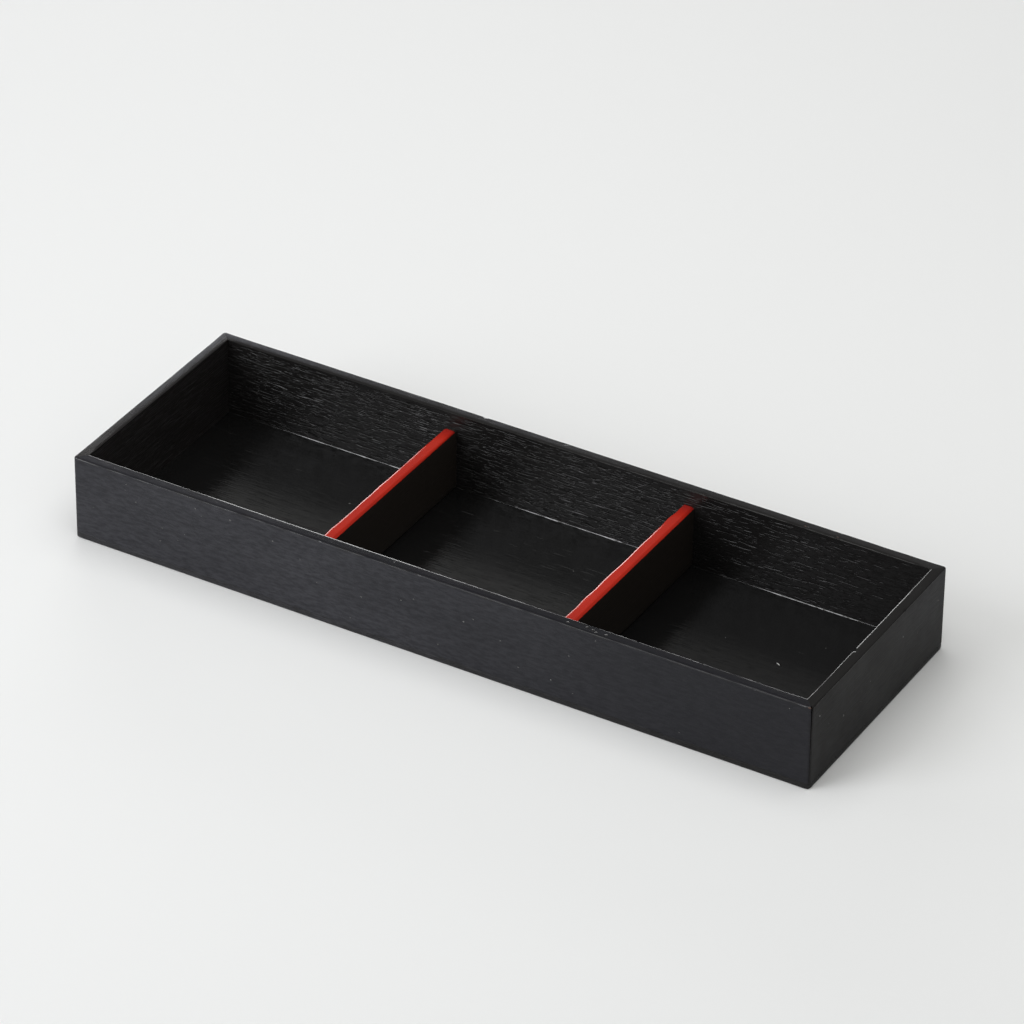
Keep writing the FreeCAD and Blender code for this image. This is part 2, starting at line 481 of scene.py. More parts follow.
front_wall_nicks = [
    ((75, -57.4, 41), (14, 0), 2.6, 0.08, 0.0),
    ((-178.5, -60, 41), (1.4, 0), 0.6, 0.35, 0.0),
    ((-55, -60, 41), (0.9, 0), 0.45, 0.20, 0.0),
    ((-6, -60, 41), (1.0, 0), 0.45, 0.18, 0.0),
    ((153, -60, 41), (1.3, 0), 0.5, 0.22, 0.0),
    ((178.8, -60, 41), (1.3, 0), 0.9, 0.30, 0.8)]
back_wall_nicks = [
    ((-44.6, 59.8, 41), (1.2, 0), 0.8, 0.18, 0.0),
    ((-40.0, 58.6, 41), (1.0, 0), 0.6, 0.12, 0.0),
    ((-4.0, 59.1, 41), (1.6, 0), 0.7, 0.14, 0.0),
    ((28.0, 56.2, 40.6), (1.5, 0), 0.9, 0.14, 0.0),
    ((66.0, 55.6, 40.4), (2.0, 0), 1.4, 0.18, 0.3),
    ((115.0, 56.7, 41), (1.8, 0), 0.9, 0.14, 0.5),
    ((130.0, 56.1, 41), (1.5, 0), 0.8, 0.14, 0.5),
    ((-163.0, 56.0, 41), (1.0, 0), 0.7, 0.25, 0.4)]
left_wall_nicks = [
    ((-175.4, 28.0, 41), (0, 1.0), 0.7, 0.25, 0.5),
    ((-175.2, -20.0, 41), (0, 1.4), 0.6, 0.15, 0.0)]
right_wall_nicks = [
    ((175.3, -14.0, 41), (0, 1.3), 0.8, 0.30, 0.0),
    ((179.9, 22.0, 41), (0, 1.2), 0.6, 0.20, 0.0)]


def front_inner_round(run):
    """The front wall's inner arris is eased most left of its middle. It runs from the left end."""
    eased = 0.34 + 0.34 * smooth_step(run, -125, -105) * (1 - smooth_step(run, -50, 60))
    return eased + 0.08 * wandering(run / 9, 4.5, 0)


def right_inner_round(run):
    """The right wall's inner arris is eased most behind its middle. It runs from the front end."""
    eased = 0.36 + 0.26 * smooth_step(run, -15, -12) * (1 - smooth_step(run, 36, 44))
    return eased + 0.10 * wandering(run / 6, 9.5, 0)


def back_inner_round(run):
    """The back wall's inner arris is worn to a gentle slope, of about the same width all along."""
    return 1.7 + 0.45 * wandering(run / 14, 2.5, 0) + 0.25 * wandering(run / 3, 7.5, 0)


def left_inner_round(run):
    """The left wall's inner arris is worn too, a little less than the back wall's."""
    return 1.1 + 0.4 * wandering(run / 12, 8.5, 0)


def sheen_streak(place):
    """Lighter and darker streaks in the painted sheen, drawn out along the wall."""
    coarse = 0.35 * wandering(place.x / 9, place.y / 9, 4 * place.z)
    fine = 0.30 * wandering(place.x / 2, place.y / 2, 3)
    return 1 + coarse + fine


def front_haze_and_sheen(place, facing):
    """Painted sheen makes the rim a little grey towards its left end; the outer face is a little grey too,
    least of all near the right end.
    """
    if facing.z > 0.5:
        inward = 0.5 + 0.5 * smooth_step(place.y, -59.2, -58.6)
        return 0.28 * (1 - smooth_step(place.x, -120, -30)) * sheen_streak(place) * inward
    if facing.y > -0.5:
        return 0.0
    cloud = 0.75 + 0.25 * wandering(place.x / 40, place.z / 15, 7)
    return 0.45 * cloud * (1 - smooth_step(place.x, -60, 150))


def right_painted_sheen(place, facing):
    """Painted sheen: the outer face is painted a little grey towards its upper back corner."""
    if facing.x < 0.5:
        return 0.0
    return 0.22 * smooth_step(place.y, 0, 60) * smooth_step(place.z, 8, 38)


def back_painted_sheen(place, facing):
    """Painted sheen: the rim is painted grey, most of all at its left end."""
    if facing.z < 0.7:
        return 0.0
    grey = 0.10 + 0.30 * (1 - smooth_step(place.x, -60, 70)) + 0.55 * (1 - smooth_step(place.x, -178, -95))
    return grey * sheen_streak(place) * smooth_step(place.y, 55.5, 58)


def left_painted_sheen(place, facing):
    """Painted sheen: the rim is painted grey towards the back."""
    if facing.z < 0.7:
        return 0.0
    grey = 0.10 + 0.80 * smooth_step(place.y, -35, 35)
    return grey * sheen_streak(place) * smooth_step(-place.x, 175.8, 178)


# Each wall's finish at a place of its run: how polished the outer and inner arris are, how dull the rim,
# inner arris and inner face are, and how far the inner face's pores are filled
def front_finish(run):
    to_right = smooth_step(run, -30, 95)
    rim_dull = -0.58 - 0.14 * to_right
    return 1.0 - 0.45 * to_right, 0.43 - 0.25 * to_right, rim_dull, -0.2 - 0.3 * to_right, 0.0, 0.0


def right_finish(run):
    return 0.0, 0.40, -0.78, -0.1, 0.0, 0.0


divider_places = [(low.x + high.x) / 2 / MM for low, high in map(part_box, ("left_divider", "right_divider"))]


def back_finish(run):
    to_right = smooth_step(-run, -60, 120)
    beside = 1 - smooth_step(min(abs(-run - place - 2.5) for place in divider_places), 3.5, 8)
    inside = -0.22 - 0.36 * to_right + 0.35 * beside
    filled = 0.54 * smooth_step(-run, 50, 70) + 0.20 * smooth_step(-run, 110, 170)
    return 0.0, 0.0, -0.60 - 0.20 * to_right, -0.7, inside, filled


def left_finish(run):
    return 0.0, 0.0, -0.28, -0.7, 0.0, 0.0


wall_makings = {
    "front_wall": dict(
        outward=Vector((0, -1, 0)), inner_round=front_inner_round, steepest=22, shoulder=0.8,
        nicks=front_wall_nicks, haze_and_sheen_at=front_haze_and_sheen, finish_at=front_finish, open_end=1,
        lacquer=black_lacquer("black lacquer on front wall", GRAIN_ALONG_LENGTH, (0.11, 0.02, 0.07),
                              level=0.215, coat=bluish_coat)),
    "right_wall": dict(
        outward=Vector((1, 0, 0)), inner_round=right_inner_round, steepest=30, shoulder=0,
        nicks=right_wall_nicks, haze_and_sheen_at=right_painted_sheen, finish_at=right_finish, open_end=-1,
        lacquer=black_lacquer("black lacquer on right wall", GRAIN_ALONG_WIDTH, (0.53, 0.21, 0.02),
                              level=0.165)),
    "back_wall": dict(
        outward=Vector((0, 1, 0)), inner_round=back_inner_round, steepest=17, shoulder=0,
        nicks=back_wall_nicks, haze_and_sheen_at=back_painted_sheen, finish_at=back_finish, open_end=0,
        lacquer=black_lacquer("black lacquer on back wall", GRAIN_ALONG_LENGTH, (0.87, 0.43, 0.31),
                              level=0.34, pore_length=0.0075)),
    "left_wall": dict(
        outward=Vector((-1, 0, 0)), inner_round=left_inner_round, steepest=20, shoulder=0,
        nicks=left_wall_nicks, haze_and_sheen_at=left_painted_sheen, finish_at=left_finish, open_end=0,
        lacquer=black_lacquer("black lacquer on left wall", GRAIN_ALONG_WIDTH, (0.29, 0.65, 0.17),
                              level=0.34, coat=shaded_coat)),
}
for name, making in wall_makings.items():
    wall = lacquered_wall(name + "_lacquered", **making)
    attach(wall, "root")
    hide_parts(name)


# ---- Corner splines ----
# A thin upright strip of hard wood glued across each mitre, stopped below the rim so it stays hidden.
# Plain planed wood, never lacquered.
def upright_grain(tree, where, length, width, share, ring):
    """Open grain that runs upright: its pores' length, width and share, and the width of its rings."""
    turned = add_node(tree, "ShaderNodeMapping", {"Vector": where, "Rotation": (0, math.radians(90), 0)})
    return place_group(tree, open_grain, {
        "Place": turned.outputs["Vector"], "Pore Length": length, "Pore Width": width,
        "Pore Share": share, "Ring Width": ring})


def finish_solid(name, material):
    """Gives a plain solid its material."""
    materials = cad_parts[name].data.materials
    materials.clear()
    materials.append(material)


spline_wood, tree, shader, where = new_material("planed spline wood")
wood = upright_grain(tree, where, 0.004, 0.0004, 0.3, 0.0021)
colour = blend_colour(tree, wood["Rings"], (0.36, 0.22, 0.11, 1), (0.44, 0.29, 0.16, 1))
join(tree, shader, {
    "Base Color": blend_colour(tree, wood["Pores"], colour, (0.20, 0.11, 0.05, 1)),
    "Roughness": sum_node(tree, "MULTIPLY_ADD", wood["Fibre"], 0.15, 0.55)})
for corner in ("front_left", "front_right", "back_left", "back_right"):
    finish_solid(corner + "_spline", spline_wood)


# ---- Bottom board ----
# One flat board, flush with the outside of the walls, which stand on it. Its lower arris is eased.
# The compartments' floors are its upper face, lacquered more glossy than the walls, the right one least.
foot_round = 0.65
resting_edge = 0.35
underside_lift = 0.04
floor_wave = 0.05
board_columns = 180
board_rows = 60


def board_edge():
    """The board's edge from its upper face to its underside: how far in, and how high."""
    edge = [(0.10, seam_height), (0.03, seam_height - 0.03), (0, seam_height - 0.10), (0, 1.9), (0, 1.3)]
    for step in range(7):
        turn = step / 6 * math.pi / 2
        edge.append((foot_round * (1 - math.cos(turn)), foot_round * (1 - math.sin(turn))))
    edge.append((foot_round + resting_edge, 0))
    edge.append((foot_round + resting_edge + 0.15, underside_lift))
    return edge


def board_point(column, row, inset):
    """A point of the board's grid in plan, with the grid's edge so far in from the board's."""
    return ((half_length - inset) * (2 * column / board_columns - 1),
            (half_width - inset) * (2 * row / board_rows - 1))


def board_grid(build, inset, height, waves):
    """One face of the board, a little wavy inside the walls. Gives its vertices by column and row."""
    verts = {}
    for column in range(board_columns + 1):
        for row in range(board_rows + 1):
            x, y = board_point(column, row, inset)
            from_edge = min(half_length - abs(x), half_width - abs(y))
            sag = waves * smooth_step(from_edge, wall_thickness, wall_thickness + 6)
            wave = sag * (0.5 + 0.5 * wandering(x / 30, y / 14, 5))
            place = Vector((*round_upright_corner(x, y), height - wave))
            verts[column, row] = build.verts.new(place * MM)
    for column in range(board_columns):
        for row in range(board_rows):
            build.faces.new((verts[column, row], verts[column + 1, row],
                             verts[column + 1, row + 1], verts[column, row + 1]))
    return verts


def board_mesh(name, edge, lacquer):
    """A flat board: a grid above, a grid below, and the edge carried round between them."""
    build = bmesh.new()
    layers = float_layers(build, ("arris", "dull", "haze_and_sheen"))
    rim_order = [(column, 0) for column in range(board_columns)]
    rim_order += [(board_columns, row) for row in range(board_rows)]
    rim_order += [(column, board_rows) for column in range(board_columns, 0, -1)]
    rim_order += [(0, row) for row in range(board_rows, 0, -1)]
    upper = board_grid(build, *edge[0], floor_wave)
    lower = board_grid(build, *edge[-1], 0.0)
    loops = [[upper[key] for key in rim_order]]
    for inset, height in edge[1:-1]:
        loop = []
        for column, row in rim_order:
            x, y = round_upright_corner(*board_point(column, row, inset))
            place = Vector((x, y, height))
            loop.append(add_vert(build, place, layers, {
                "arris": 0.4 * (1 - smooth_step(height, 0.6, 1.8)),
                "dull": smooth_step(height, 0.3, 1.4),
                "haze_and_sheen": front_haze_and_sheen(place, Vector((0, -1 if y < -59 else 0, 0)))}))
        loops.append(loop)
    loops.append([lower[key] for key in rim_order])
    for side in skin_loops(build, loops):
        side.material_index = 1
    right_floor_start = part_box("right_divider")[0].x
    for face in build.faces:
        middle = face.calc_center_median()
        if face.material_index == 0 and middle.x > right_floor_start and middle.z > MM:
            face.material_index = 2
    return plain_mesh(name, build, lacquer)


floor_lacquer = black_lacquer("black lacquer on bottom board", GRAIN_IN_FLAT_BOARD, (0.71, 0.13, 0.4),
                              pore_share=0.19, pore_depth=0.07, fibre_depth=0.060, gloss=0.02, level=0.62,
                              coat=floor_coat)
edge_lacquer = black_lacquer("black lacquer on board edge", GRAIN_ALONG_LENGTH, (0.31, 0.22, 0.6),
                             level=0.20)
right_floor_lacquer = black_lacquer("black lacquer on right floor", GRAIN_IN_FLAT_BOARD, (0.71, 0.13, 0.4),
                                    pore_share=0.16, pore_depth=0.05, fibre_depth=0.060, gloss=0.02,
                                    level=0.32, coat=floor_coat)
bottom = board_mesh("bottom_board_lacquered", board_edge(), floor_lacquer)
bottom.data.materials.append(edge_lacquer)
bottom.data.materials.append(right_floor_lacquer)
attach(bottom, "root")
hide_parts("bottom_board")


# ---- Pegs ----
# Split bamboo pegs driven up through the bottom board into the walls, cut flush and lacquered over.
# Only their heads show, on the underside.
peg_bamboo, tree, shader, where = new_material("bamboo peg with lacquered head")
wood = upright_grain(tree, where, 0.006, 0.0003, 0.5, 0.0011)
stem = blend_colour(tree, wood["Rings"], (0.55, 0.40, 0.20, 1), (0.45, 0.30, 0.14, 1))
above_table = add_node(tree, "ShaderNodeSeparateXYZ", {0: where}).outputs["Z"]
head = soft_range(tree, above_table, 0.00005, 0.0004)
join(tree, shader, {
    "Base Color": blend_colour(tree, head, black_coat, stem),
    "Roughness": sum_node(tree, "MULTIPLY_ADD", head, 0.2, 0.4)})
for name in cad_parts:
    if "_peg_" in name:
        finish_solid(name, peg_bamboo)


# ---- Dividers ----
# Two low boards of the same wood, housed in the front and back walls, with their grain across the box.
# Black like the walls, and made by one rule: a straight board with eased arrises.
left_low, left_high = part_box("left_divider")
divider_thickness = (left_high.x - left_low.x) / MM
divider_top = left_high.z / MM
divider_round = 0.9
coat_thickness = 0.06
coat_on_top = 0.30
askew = 0.45


def new_tree(name, inputs):
    """An empty Geometry Nodes tree with named inputs, what it is given, and its output node."""
    tree = bpy.data.node_groups.new(name, "GeometryNodeTree")
    tree.interface.new_socket(name="Geometry", in_out="INPUT", socket_type="NodeSocketGeometry")
    for label, kind in inputs.items():
        tree.interface.new_socket(name=label, in_out="INPUT", socket_type="NodeSocket" + kind)
    tree.interface.new_socket(name="Geometry", in_out="OUTPUT", socket_type="NodeSocketGeometry")
    return tree, tree.nodes.new("NodeGroupInput").outputs, tree.nodes.new("NodeGroupOutput")


def end_tree(tree, shape, lacquer, result):
    """Ends a tree: copies are made real, faces smooth, and all is lacquered."""
    real = add_node(tree, "GeometryNodeRealizeInstances", {"Geometry": shape})
    smooth = add_node(tree, "GeometryNodeSetShadeSmooth", {"Geometry": real})
    painted = add_node(tree, "GeometryNodeSetMaterial", {"Geometry": smooth, "Material": lacquer})
    join(tree, result, {"Geometry": painted})


def run_tree(name, tree, base, values):
    """Puts a tree on a base mesh, sets its inputs, and keeps what it makes as a plain mesh."""
    holder = add_object(name + "_base", base)
    modifier = holder.modifiers.new("making", "NODES")
    modifier.node_group = tree
    for item in tree.interface.items_tree:
        if item.in_out == "INPUT" and item.name in values:
            modifier[item.identifier] = values[item.name]
    holder.update_tag()
    ready = holder.evaluated_get(bpy.context.evaluated_depsgraph_get())
    mesh = bpy.data.meshes.new_from_object(ready)
    mesh.name = name
    holder.modifiers.clear()
    bpy.data.objects.remove(holder)
    return add_object(name, mesh)


def ripple_value(tree, seed, scale, detail):
    """A slow ripple over a shape in a Geometry Nodes tree."""
    spot = tree.nodes.new("GeometryNodeInputPosition")
    return mottle(tree, vector_sum(tree, "ADD", spot, seed), scale, detail)


divider_rule, given, result = new_tree("divider board", {
    "Length": "Float", "Thickness": "Float", "Height": "Float", "Round": "Float", "Middle": "Vector",
    "Askew": "Float", "Unevenness": "Float", "Seed": "Float", "Lacquer": "Material"})
half = sum_node(divider_rule, "MULTIPLY", given["Length"], 0.5)
opposite = sum_node(divider_rule, "MULTIPLY", half, -1.0)
start = add_node(divider_rule, "ShaderNodeCombineXYZ", {"X": given["Askew"], "Y": opposite})
end = add_node(divider_rule, "ShaderNodeCombineXYZ", {"Y": half})
line = add_node(divider_rule, "GeometryNodeCurvePrimitiveLine", {"Start": start, "End": end})
line = add_node(divider_rule, "GeometryNodeResampleCurve", {"Curve": line, "Count": 120})
level = add_node(divider_rule, "GeometryNodeSetCurveNormal", {"Curve": line}, mode="Z_UP")
section = add_node(divider_rule, "GeometryNodeCurvePrimitiveQuadrilateral",
                   {"Width": given["Thickness"], "Height": given["Height"]})
eased = add_node(divider_rule, "GeometryNodeFilletCurve",
                 {"Curve": section, "Count": 4, "Radius": given["Round"]}, mode="POLY")
cuts = add_node(divider_rule, "GeometryNodeSubdivideCurve", {"Curve": eased, "Cuts": 8})
board = add_node(divider_rule, "GeometryNodeCurveToMesh",
                 {"Curve": level, "Profile Curve": cuts, "Fill Caps": True})
ripple = ripple_value(divider_rule, given["Seed"], 60.0, 1.0)
lift = sum_node(divider_rule, "SUBTRACT", ripple, 0.5)
amount = sum_node(divider_rule, "MULTIPLY", lift, given["Unevenness"])
face = divider_rule.nodes.new("GeometryNodeInputNormal")
push = add_node(divider_rule, "ShaderNodeVectorMath", {0: face, "Scale": amount}, operation="SCALE")
uneven = add_node(divider_rule, "GeometryNodeSetPosition",
                  {"Geometry": board, "Offset": push.outputs["Vector"]})
placed = add_node(divider_rule, "GeometryNodeTransform",
                  {"Geometry": uneven, "Translation": given["Middle"]})
end_tree(divider_rule, placed, given["Lacquer"], result)

divider_middles = {}
for number, name in enumerate(("left_divider", "right_divider")):
    low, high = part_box(name)
    divider_middles[name] = (low.x + high.x) / 2 / MM
    core_height = (high.z - low.z) - coat_on_top * MM
    lacquer = black_lacquer("black lacquer on " + name.replace("_", " "), GRAIN_ALONG_WIDTH,
                            (0.37 + 0.41 * number, 0.15, 0.83), pore_share=0.20, pore_depth=0.05,
                            coat=brownish_coat)
    divider = run_tree(name + "_lacquered", divider_rule, bpy.data.meshes.new(name + "_start"), {
        "Length": high.y - low.y, "Thickness": (high.x - low.x) - 2 * coat_thickness * MM,
        "Height": core_height, "Round": divider_round * MM,
        "Middle": ((low.x + high.x) / 2, 0, low.z + core_height / 2), "Askew": -askew * MM,
        "Unevenness": 0.00008, "Seed": 0.3 + number, "Lacquer": lacquer})
    divider.data.set_sharp_from_angle(angle=math.radians(32))
    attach(divider, "root")
    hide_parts(name)


# ---- Vermilion coats ----
# Vermilion lacquer brushed thickly along each divider's top edge, over both arrises.
# Its lower edge wanders, and on the right face it has run a little.
vermilion, tree, shader, where = new_material("vermilion lacquer")
streaks = mottle(tree, where, 1.0, 3.0, 0.6, stretch=(700, 60, 700))
colour = blend_colour(tree, streaks, (0.405, 0.0165, 0.0065, 1), (0.475, 0.0225, 0.0095, 1))
along = add_node(tree, "ShaderNodeSeparateXYZ", {0: where}).outputs["Y"]
# Painted shade: the red is painted darker near its back end, where the back wall shades it, and handled
# patches darken it a little too
shaded_end_and_handled = soft_range(tree, along, 0.045, 0.054, 0.0, 0.7)
handling = place_group(tree, handled, {"Place": where})
shaded_end_and_handled = sum_node(tree, "MULTIPLY_ADD", handling["Dulled"], 0.30, shaded_end_and_handled)
height = sum_node(tree, "MULTIPLY", mottle(tree, where, 420.0, 2.0), 0.05)
height = sum_node(tree, "MULTIPLY_ADD", streaks, 0.012, height)
join(tree, shader, {
    "Base Color": blend_colour(tree, shaded_end_and_handled, colour, (0.26, 0.012, 0.009, 1)),
    "Roughness": sum_node(tree, "MULTIPLY_ADD", streaks, 0.08, 0.13),
    "IOR": 1.5, "Specular IOR Level": 0.2, "Coat Weight": attribute(tree, "polish"),
    "Coat Roughness": 0.10, "Normal": relief(tree, height)})
coat_stations = 260
coat_in_wall = 0.4


def coat_section(overhang, left_drop, right_drop, right_inset):
    """The coat's section, from left to right over the divider's top, then back inside the wood:
    across, height and polish. It swells out over the left arris and turns down softly at the right."""
    half = divider_thickness / 2
    inner = half - 0.5
    top = divider_top
    wide = (0.7 + overhang) / 1.2
    points = [(-half + 0.10, top - left_drop - 0.05, 0), (-half + 0.02, top - left_drop, 0)]
    points += [(-1.8 - out * wide, top - drop, 0.48) for out, drop in (
        (1.25, 0.62), (1.28, 0.50), (1.26, 0.40), (1.20, 0.30), (1.0, 0.20), (0.8, 0.135), (0.6, 0.080),
        (0.4, 0.040))]
    points += [(x, top - drop, 0) for x, drop in ((-2.0, 0.012), (-1.8, 0), (-0.8, 0), (0.3, 0))]
    points += [(x - right_inset, top - drop, 0) for x, drop in (
        (1.3, 0), (1.65, 0.03), (1.95, 0.10), (2.2, 0.22), (2.39, 0.42))]
    right_side = [(half - 0.04, 0.62), (half, max(right_drop * 0.95, 0.66)), (half - 0.02, right_drop),
                  (half - 0.10, right_drop + 0.05)]
    inside = [(inner, right_drop - 0.1), (inner, 0.7), (0, 0.6), (-inner, 0.7), (-inner, left_drop - 0.1)]
    return points + [(x, top - drop, 0) for x, drop in right_side + inside]


def vermilion_coat(name, middle, seed, fullness, stops_at, runs_wide, brighter, runs):
    """A coat carried along a divider from wall to wall, sinking to the bare board where the brush stopped.
    The runs are drips: place, width, length."""
    build = bmesh.new()
    layers = float_layers(build, ("polish",))
    reach = half_width - wall_thickness + coat_in_wall
    loops = []
    for number in range(coat_stations + 1):
        y = -reach + 2 * reach * number / coat_stations
        skew = -askew * (0.5 - y / (2 * half_width))
        overhang = fullness + 0.30 * wandering(y / 8, seed, 0) + 0.15 * smooth_step(-y, 20, 40)
        overhang = max(0.02, overhang) * (1 - smooth_step(y, 42, 49))
        shine = 1 - 0.8 * smooth_step(-y, 20, 34) + brighter * smooth_step(y, -15, 10)
        left_drop = 0.88 + 0.14 * wandering(y / 7, seed, 2)
        right_inset = 0.34 + 0.12 * wandering(y / 4, seed, 4)
        right_inset -= runs_wide * smooth_step(y, 5, 35)
        right_drop = 0.86 + 0.24 * wandering(y / 5, seed, 9)
        right_drop += 0.14 * wandering(y / 1.4, seed, 6)
        sunk = 0.45 * smooth_step(y, stops_at - 0.9, stops_at)
        for place, width, length in runs:
            right_drop += length * math.exp(-((y - place) / width) ** 2)
        loop = []
        for x, z, polish in coat_section(overhang, left_drop, max(right_drop, 0.7), right_inset):
            place = Vector((middle + skew + x * (1 - 0.3 * sunk), y, z - sunk))
            loop.append(add_vert(build, place, layers, {"polish": polish * shine}))
        loops.append(loop)
    skin_loops(build, loops)
    build.faces.new(loops[0])
    build.faces.new(loops[-1])
    return plain_mesh(name, build, vermilion, sharp_beyond=50)


left_runs = [(-38, 1.2, 0.35), (-12, 0.9, 0.5), (9, 1.6, 0.3), (33, 1.0, 0.4)]
right_runs = [(-44, 1.0, 0.3), (-20, 1.4, 0.45), (14, 0.9, 0.35), (41, 1.2, 0.3)]
for name, seed, fullness, stops_at, runs_wide, brighter, runs in (
        ("left_divider", 1.7, 0.22, 54.3, 0.24, 0.1, left_runs),
        ("right_divider", 6.3, 0.38, 56.0, 0.0, 0.5, right_runs)):
    coat = vermilion_coat(name + "_vermilion", divider_middles[name], seed, fullness, stops_at,
                          runs_wide, brighter, runs)
    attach(coat, "root")


# ---- Lacquer beads ----
# Where the front and back walls meet the floor, surplus lacquer has gathered in the corner
# and dried as a thin glossy bead, broken and uneven.
bead_lacquer, tree, shader, where = new_material("gathered lacquer")
lumps = mottle(tree, where, 520.0, 2.0)
join(tree, shader, {
    "Base Color": blend_colour(tree, lumps, black_coat, (0.0075, 0.0070, 0.0070, 1)),
    "Roughness": sum_node(tree, "MULTIPLY_ADD", lumps, 0.08, 0.09),
    "IOR": 1.6, "Specular IOR Level": 0.9,
    "Normal": relief(tree, sum_node(tree, "MULTIPLY", lumps, 0.05))})

bead_rule, given, result = new_tree("lacquer bead", {
    "Spacing": "Float", "Least Size": "Float", "Most Size": "Float", "Seed": "Float", "Section": "Object",
    "Lacquer": "Material"})
line = add_node(bead_rule, "GeometryNodeMeshToCurve", {"Mesh": given["Geometry"]})
steps = add_node(bead_rule, "GeometryNodeResampleCurve",
                 {"Curve": line, "Length": given["Spacing"]}, mode="LENGTH")
level = add_node(bead_rule, "GeometryNodeSetCurveNormal", {"Curve": steps}, mode="Z_UP")
size = add_node(bead_rule, "ShaderNodeMapRange", {
    "Value": ripple_value(bead_rule, given["Seed"], 130.0, 2.0), "From Min": 0.35, "From Max": 0.68,
    "To Min": given["Least Size"], "To Max": given["Most Size"]})
fullness = add_node(bead_rule, "GeometryNodeInputNamedAttribute", {"Name": "fullness"}, data_type="FLOAT")
full_size = sum_node(bead_rule, "MULTIPLY", size, fullness.outputs["Attribute"])
section = add_node(bead_rule, "GeometryNodeObjectInfo", {"Object": given["Section"]})
outline = add_node(bead_rule, "GeometryNodeMeshToCurve", {"Mesh": section.outputs["Geometry"]})
bead = add_node(bead_rule, "GeometryNodeCurveToMesh", {
    "Curve": level, "Profile Curve": outline, "Scale": full_size, "Fill Caps": True})
end_tree(bead_rule, bead, given["Lacquer"], result)

section_points = [(-0.15, -0.15), (1.0, -0.15), (1.0, 0.0)]
for step in range(1, 8):
    turn = step / 8 * math.pi / 2
    section_points.append((1 - math.sin(turn), 1 - math.cos(turn)))
section_points += [(0.0, 1.0), (-0.15, 1.0)]
section_mesh = bpy.data.meshes.new("bead_section")
corners = len(section_points)
section_mesh.from_pydata([(x, y, 0) for x, y in section_points],
                         [(number, (number + 1) % corners) for number in range(corners)], [])
section_object = add_object("bead_section", section_mesh)

inner_x = half_length - wall_thickness
inner_y = half_width - wall_thickness
divider_half = divider_thickness / 2 - coat_thickness
bounds_x = [-inner_x]
for name in ("left_divider", "right_divider"):
    bounds_x += [divider_middles[name] - divider_half, divider_middles[name] + divider_half]
bounds_x.append(inner_x)
bead_steps = 40
places = []
lines = []
fullness_values = []
for number in range(3):
    left, right = bounds_x[2 * number], bounds_x[2 * number + 1]
    for first_x, last_x, y in ((left, right, -inner_y), (right, left, inner_y)):
        for step in range(bead_steps + 1):
            x = first_x + (last_x - first_x) * step / bead_steps
            if step > 0:
                lines.append((len(places) - 1, len(places)))
            places.append((x * MM, y * MM, seam_height * MM))
            swelling = smooth_step(x - left, 28, 46) * (1 - 0.45 * smooth_step(x - left, 72, 95))
            fullness_values.append(0.15 + 0.85 * swelling)
bead_lines = bpy.data.meshes.new("bead_lines")
bead_lines.from_pydata(places, lines, [])
bead_lines.attributes.new("fullness", "FLOAT", "POINT").data.foreach_set("value", fullness_values)
beads = run_tree("lacquer_beads", bead_rule, bead_lines, {
    "Spacing": 0.0008, "Least Size": 0.00070, "Most Size": 0.00300, "Seed": 0.47,
    "Section": section_object, "Lacquer": bead_lacquer})
bpy.data.objects.remove(section_object)
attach(beads, "root")


# ---- Lacquer nibs ----
# Specks of dust caught in the lacquer stand up as small rounded nibs on the outer faces, rim and floors,
# with a row of larger blisters on the front rim. One longer nib on the right floor is painted pale, a painted
# highlight.
nib_lacquer, tree, shader, where = new_material("lacquer over dust")
handling = place_group(tree, handled, {"Place": where})
join(tree, shader, {
    "Base Color": blend_colour(tree, handling["Dulled"], (0.03, 0.03, 0.03, 1), (0.095, 0.095, 0.09, 1)),
    "Roughness": 0.22, "Specular IOR Level": 0.8})
# Painted highlight: the long nib on the right floor is painted pale grey to white
nib_highlight_paint, tree, shader, where = new_material("pale dried fleck")
lumps = mottle(tree, where, 900.0, 2.0)
join(tree, shader, {
    "Base Color": blend_colour(tree, lumps, (0.30, 0.30, 0.30, 1), (0.62, 0.62, 0.60, 1)),
    "Roughness": 0.3})

nib_rule, given, result = new_tree("lacquer nibs", {
    "Least Size": "Float", "Most Size": "Float", "Length": "Float", "Height": "Float", "Seed": "Int",
    "Lacquer": "Material"})
spots = add_node(nib_rule, "GeometryNodeMeshToPoints", {"Mesh": given["Geometry"]})
facing = add_node(nib_rule, "GeometryNodeInputNamedAttribute", {"Name": "facing"}, data_type="FLOAT_VECTOR")
upright = add_node(nib_rule, "FunctionNodeAlignRotationToVector",
                   {"Vector": facing.outputs["Attribute"]}, axis="Z")
size = add_node(nib_rule, "FunctionNodeRandomValue", {
    2: given["Least Size"], 3: given["Most Size"], "Seed": given["Seed"]}, data_type="FLOAT").outputs[1]
long_size = sum_node(nib_rule, "MULTIPLY", size, given["Length"])
shape = add_node(nib_rule, "ShaderNodeCombineXYZ", {"X": long_size, "Y": size, "Z": given["Height"]})
ball = add_node(nib_rule, "GeometryNodeMeshIcoSphere", {"Radius": 1.0, "Subdivisions": 2})
nibs = add_node(nib_rule, "GeometryNodeInstanceOnPoints", {
    "Points": spots, "Instance": ball, "Rotation": upright, "Scale": shape})
end_tree(nib_rule, nibs, given["Lacquer"], result)


def nib_spots(name, spots):
    """A mesh of loose points, each with the way that it faces."""
    mesh = bpy.data.meshes.new(name)
    mesh.from_pydata([Vector(place) * MM for place, facing in spots], [], [])
    ways = mesh.attributes.new("facing", "FLOAT_VECTOR", "POINT")
    for number, (place, facing) in enumerate(spots):
        ways.data[number].vector = facing
    return mesh


